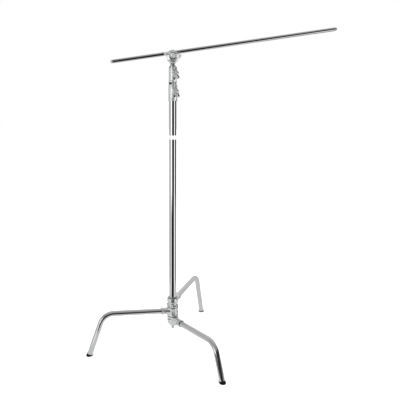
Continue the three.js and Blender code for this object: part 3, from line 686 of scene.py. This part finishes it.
def jaw(name, y0, y1, inner, node, body):
    """Gripping disc: turned edge, rod grooves of two sizes; the outer one is domed, with an index hole and a notch for the spare rod."""
    if inner:
        prof = [(0, y0), (26.6, y0, 0.4), (27.7, y0 + 1.2, 0.5), (27.7, y1 - 1.0, 0.5), (26.9, y1, 0.4), (0, y1)]
    else:
        prof = [(0, y0), (26.9, y0, 0.4), (27.7, y0 + 0.9, 0.5), (27.7, y0 + 2.6, 0.5), (26.4, y0 + 4.2, 1.0), (22.5, y1 - 3.0, 5), (17.6, y1 - 1.2, 3), (16.8, y1 - 1.7, 0.4), (16.0, y1 - 0.1, 0.5), (0, y1)]
    ob = build(name, turn(prof, 144), JAWS @ TO_FRONT)
    obs = [build("t", turn([(0, 0), (6.2, 0), (6.2, 60), (0, 60)], 48), JAWS @ TO_FRONT)]
    for r, off in ((8.4, ARM_OFF), (5.0, -18.0)):
        obs.append(build("t", turn([(0, -60), (r, -60), (r, 60), (0, 60)], 64), JAWS @ aim((1, 0, 0), (0, ARM_Y, off))))
    if not inner:
        for x, z, r in ((2.8, -20.6, 3.1), (-19.2, -18.6, 3.6)):
            q = Vector((x, 0, z))
            obs.append(build("t", turn([(0, 30), (r, 30), (r, 60), (0, 60)], 32), Matrix.Translation((0, 0, BOLT_Z)) @ Matrix.Translation(q) @ TO_FRONT))
    cut(ob, obs, sharp=35)
    show(ob, body, JAW, "chrome_cast", node)


jaw("inner_grip_disc", 21.6, 31.0, True, "inner_jaw", "jaws")
jaw("outer_grip_disc", 37.0, 46.4, False, "outer_jaw", "front_jaw")

coil = []
for i in range(0, 3 * 24 + 1):
    a = 2 * math.pi * i / 24
    coil.append((6.25 * math.cos(a), 6.25 * math.sin(a), 32.2 + 3.6 * i / 72))
show(build("jaw_coil_spring", sweep(coil, 0.55, 12), JAWS @ TO_FRONT), "jaws", SPRING, "dark_steel", "jaw_spring")
show(build("pressure_washer_ring", turn([(6.3, 46.7, 0.2), (15, 46.7, 0.4), (15, 48.7, 0.4), (6.3, 48.7, 0.2)], 80, closed=True), JAWS @ TO_FRONT), "front_jaw", ZINC, "steel_fitting", "pressure_washer")
# the races are black-oxide steel, their darkness also serving as painted shade for the gap under the handle's hub
show(build("thrust_bearing_races", [turn([(6.5, 49.0, 0.2), (12.4, 49.0, 0.3), (12.4, 50.3, 0.3), (6.5, 50.3, 0.2)], 72, closed=True),
                                    turn([(6.5, 52.1, 0.2), (12.4, 52.1, 0.3), (12.4, 53.4, 0.3), (6.5, 53.4, 0.2)], 72, closed=True),
                                    turn([(7.2, 50.35, 0.1), (11.5, 50.35, 0.1), (11.5, 52.05, 0.1), (7.2, 52.05, 0.1)], 72, closed=True)], JAWS @ TO_FRONT),
     "front_jaw", DARK, "steel_fitting", "thrust_bearing")

# T handle of the head
bar = moved(wing_bar(37, 5.6, 9.0, 0.86), Matrix.Translation((0, -76.5, 0)) @ Matrix.Rotation(90 * DEG + BAR_TILT, 4, "Y") @ Matrix.Rotation(90 * DEG, 4, "Z"))
hub = moved(turn([(0, 53.8), (10.4, 53.8, 0.6), (11, 55.4, 0.8), (11, 58.5, 1), (9.4, 62, 2), (8.8, 70, 3), (8.6, 79, 3), (6.6, 83.6, 2.5), (3, 85.2, 1), (0, 85.3)], 72), TO_FRONT)
tee = cast("head_tee_handle", [bar, hub], [moved(turn([(0, 40), (5.8, 40), (5.8, 67), (0, 67)], 40), TO_FRONT)], Matrix.Translation((0, 0, BOLT_Z)), voxel=0.55, rounds=7, ratio=0.35)
show(tee, "head_handle", TEE, "chrome_cast", "head_handle_hub", "head_handle_bar")

# ------------------------------------------------------------------ arm
ARM = JAWS @ aim((1, 0, 0), (0, ARM_Y, ARM_OFF))
show(build("grip_arm_rod", turn([(6.5, -262.6, 0.2), (8, -262.6, 0.3), (8, -261.6), (8, 706.3), (8, 707.3, 0.3), (6.5, 707.3, 0.2), (6.5, 706), (6.5, -261)], 72, closed=True, seg=3), ARM), "arm", ROD, "chrome_tube", "arm_tube")
tip = [(0, 0), (4.0, 0, 0.5), (5.0, 0.9, 1.0), (7.6, 7.8, 2.5), (7.95, 9.7, 0.2), (6.2, 9.7), (6.0, 22, 0.5), (0, 22)]
show(build("near_tip_plug", turn(tip, 64), ARM @ Matrix.Translation((0, 0, -272.688))), "arm", ZINC, "steel_fitting", "arm_tip_near")
show(build("far_tip_plug", turn(tip, 64), ARM @ Matrix.Translation((0, 0, 717.312)) @ Matrix.Rotation(math.pi, 4, "X")), "arm", ZINC, "steel_fitting", "arm_tip_far")

# ------------------------------------------------------------------ inner CAD pieces that stay as they are
for node, mat in (("lower_tube_plug", ZINC), ("middle_tube_foot", NYLON), ("top_tube_foot", NYLON), ("stud_pin", ZINC)):
    NODES[node].data.materials.clear()
    NODES[node].data.materials.append(mat)

# ------------------------------------------------------------------ floor, light, camera
OX, OY = AX * MM, AY * MM


def stage_plane(name, x0, x1, y0, y1, z, mat):
    me = bpy.data.meshes.new(name)
    n = 12
    verts = [(OX + x0 + (x1 - x0) * i / n, OY + y0 + (y1 - y0) * j / n, z) for j in range(n + 1) for i in range(n + 1)]
    me.from_pydata(verts, [], [(j * (n + 1) + i, j * (n + 1) + i + 1, (j + 1) * (n + 1) + i + 1, (j + 1) * (n + 1) + i) for j in range(n) for i in range(n)])
    me.materials.append(mat)
    ob = bpy.data.objects.new(name, me)
    bpy.context.scene.collection.objects.link(ob)
    return ob


def maths(nt, op, a, b=None, clamp=False):
    n = add(nt, "ShaderNodeMath", operation=op)
    n.use_clamp = clamp
    for k, v in enumerate((a, b)):
        if v is None:
            continue
        if isinstance(v, (int, float)):
            n.inputs[k].default_value = v
        else:
            nt.links.new(v, n.inputs[k])
    return n.outputs[0]


def bearing(nt, x, y):
    """Compass bearing of (x, y): 0.5 looks out over -Y, the front, larger towards +X, a full turn is 1."""
    return maths(nt, "ADD", maths(nt, "DIVIDE", maths(nt, "ARCTAN2", x, maths(nt, "MULTIPLY", y, -1.0)), 2 * math.pi), 0.5)


def blend(nt, mask, a, b):
    n = add(nt, "ShaderNodeMix", data_type="RGBA")
    for k, v in ((0, mask), (6, a), (7, b)):
        if isinstance(v, (int, float)):
            n.inputs[k].default_value = v if k == 0 else (v, v, v, 1)
        else:
            nt.links.new(v, n.inputs[k])
    return n.outputs[2]


A = lambda d: d / 360 + 0.5
E = lambda d: d / 180 + 0.5
# what the plating mirrors, by bearing: the studio floor within a few metres, the floor beyond it, the walls; the
# floor's two tables are painted reflection, glowing on the floor for glossy rays only
CLOSE = [(A(-180), 0.40), (A(-110), 0.42), (A(-64), 0.50), (A(-58), 0.90), (A(-40), 0.90), (A(-34), 0.012), (A(35), 0.012), (A(41), 1.15), (A(66), 1.10), (A(73), 0.20), (A(108), 0.20), (A(120), 0.62), (A(150), 0.50), (A(180), 0.40)]
MIDDLE = [(A(-180), 0.52), (A(-110), 0.50), (A(-62), 0.46), (A(-56), 1.40), (A(-27), 1.40), (A(-20), 0.015), (A(38), 0.015), (A(44), 1.35), (A(63), 1.35), (A(69), 0.02), (A(116), 0.02), (A(124), 0.66), (A(150), 0.60), (A(180), 0.52)]
HIGH = [(A(-180), 0.50), (A(-110), 0.44), (A(-62), 0.52), (A(-56), 1.05), (A(-26), 1.05), (A(-18), 0.02), (A(60), 0.025), (A(108), 0.04), (A(118), 0.60), (A(150), 0.55), (A(180), 0.50)]

FLOOR, nt, p = material("studio_floor")
link = nt.links.new
noise = add(nt, "ShaderNodeTexNoise", Scale=3.0, Detail=3.0)
link(ramp(nt, noise.outputs["Fac"], [(0.3, 0.845), (0.7, 0.855)]), p.inputs["Base Color"])
p.inputs["Roughness"].default_value = 0.9
p.inputs["Specular IOR Level"].default_value = 0.0
sep = add(nt, "ShaderNodeSeparateXYZ")
link(add(nt, "ShaderNodeTexCoord").outputs["Object"], sep.inputs[0])
px, py = maths(nt, "SUBTRACT", sep.outputs["X"], AX * MM), maths(nt, "SUBTRACT", sep.outputs["Y"], AY * MM)
radius = maths(nt, "SQRT", maths(nt, "ADD", maths(nt, "MULTIPLY", px, px), maths(nt, "MULTIPLY", py, py)))
side = bearing(nt, px, py)
far = blend(nt, ramp(nt, maths(nt, "MULTIPLY", radius, 0.1), [(0.30, 0.0), (0.48, 1.0)]), ramp(nt, side, CLOSE), ramp(nt, side, MIDDLE))
front = ramp(nt, maths(nt, "MULTIPLY", py, -1.0), [(0.38, 0.0), (0.48, 1.0)])
rim = ramp(nt, radius, [(0.75, 0.0), (0.95, 1.0)])
# painted reflection: the floor glows with these dark and brighter-than-white bands for glossy rays only; camera and
# diffuse rays see the plain pale floor
painted_reflection = add(nt, "ShaderNodeEmission")
link(blend(nt, maths(nt, "MAXIMUM", front, rim), 0.63, far), painted_reflection.inputs[0])
path = add(nt, "ShaderNodeLightPath")
both = add(nt, "ShaderNodeMixShader")
link(path.outputs["Is Glossy Ray"], both.inputs[0])
link(p.outputs[0], both.inputs[1])
link(painted_reflection.outputs[0], both.inputs[2])
link(both.outputs[0], nt.nodes["Material Output"].inputs[0])
stage_plane("studio_floor", -60, 60, -60, 60, -0.0005, FLOOR)

world = bpy.data.worlds.new("studio")
bpy.context.scene.world = world
world.use_nodes = True
nt = world.node_tree
nt.nodes.clear()
link = nt.links.new
out = add(nt, "ShaderNodeOutputWorld")
bg = add(nt, "ShaderNodeBackground")
link(bg.outputs[0], out.inputs[0])
sep = add(nt, "ShaderNodeSeparateXYZ")
link(add(nt, "ShaderNodeTexCoord").outputs["Generated"], sep.inputs[0])
turned = bearing(nt, sep.outputs["X"], sep.outputs["Y"])
height = maths(nt, "ADD", maths(nt, "DIVIDE", maths(nt, "ARCSINE", sep.outputs["Z"]), math.pi), 0.5)
walls = blend(nt, ramp(nt, height, [(E(2.5), 0.0), (E(6.5), 1.0)]), ramp(nt, turned, MIDDLE), ramp(nt, turned, HIGH))
ceiling = ramp(nt, height, [(E(30), 0.26), (E(48), 0.32), (E(72), 0.42), (E(90), 0.52)])
rear = ramp(nt, sep.outputs["Y"], [(0.0, 0.0), (0.75, 1.0)])
over = blend(nt, rear, ceiling, 0.66)
room = blend(nt, ramp(nt, height, [(E(22), 0.0), (E(36), 1.0)]), walls, over)
path = add(nt, "ShaderNodeLightPath")
lit = blend(nt, path.outputs["Is Glossy Ray"], 0.78, room)
link(blend(nt, path.outputs["Is Camera Ray"], lit, 1.0), bg.inputs[0])

sun = bpy.data.lights.new("overhead_softbox", "SUN")
sun.energy = 3.3
sun.angle = 60 * DEG
so = bpy.data.objects.new("overhead_softbox", sun)
so.rotation_euler = (6 * DEG, 4 * DEG, 0)
so.visible_glossy = False
bpy.context.scene.collection.objects.link(so)

cam = bpy.data.cameras.new("camera")
cam.sensor_width = 36
cam.lens = 441.0 * 36 / 400
cam.shift_x = 0.068
cam.shift_y = -0.0025
cam.clip_end = 200
co = bpy.data.objects.new("camera", cam)
co.location = (OX, OY - 2.040, 1.0863)
co.rotation_euler = ((90 - 10) * DEG, 0, 0)
bpy.context.scene.collection.objects.link(co)
bpy.context.scene.camera = co
bpy.context.scene.view_settings.view_transform = "Standard"
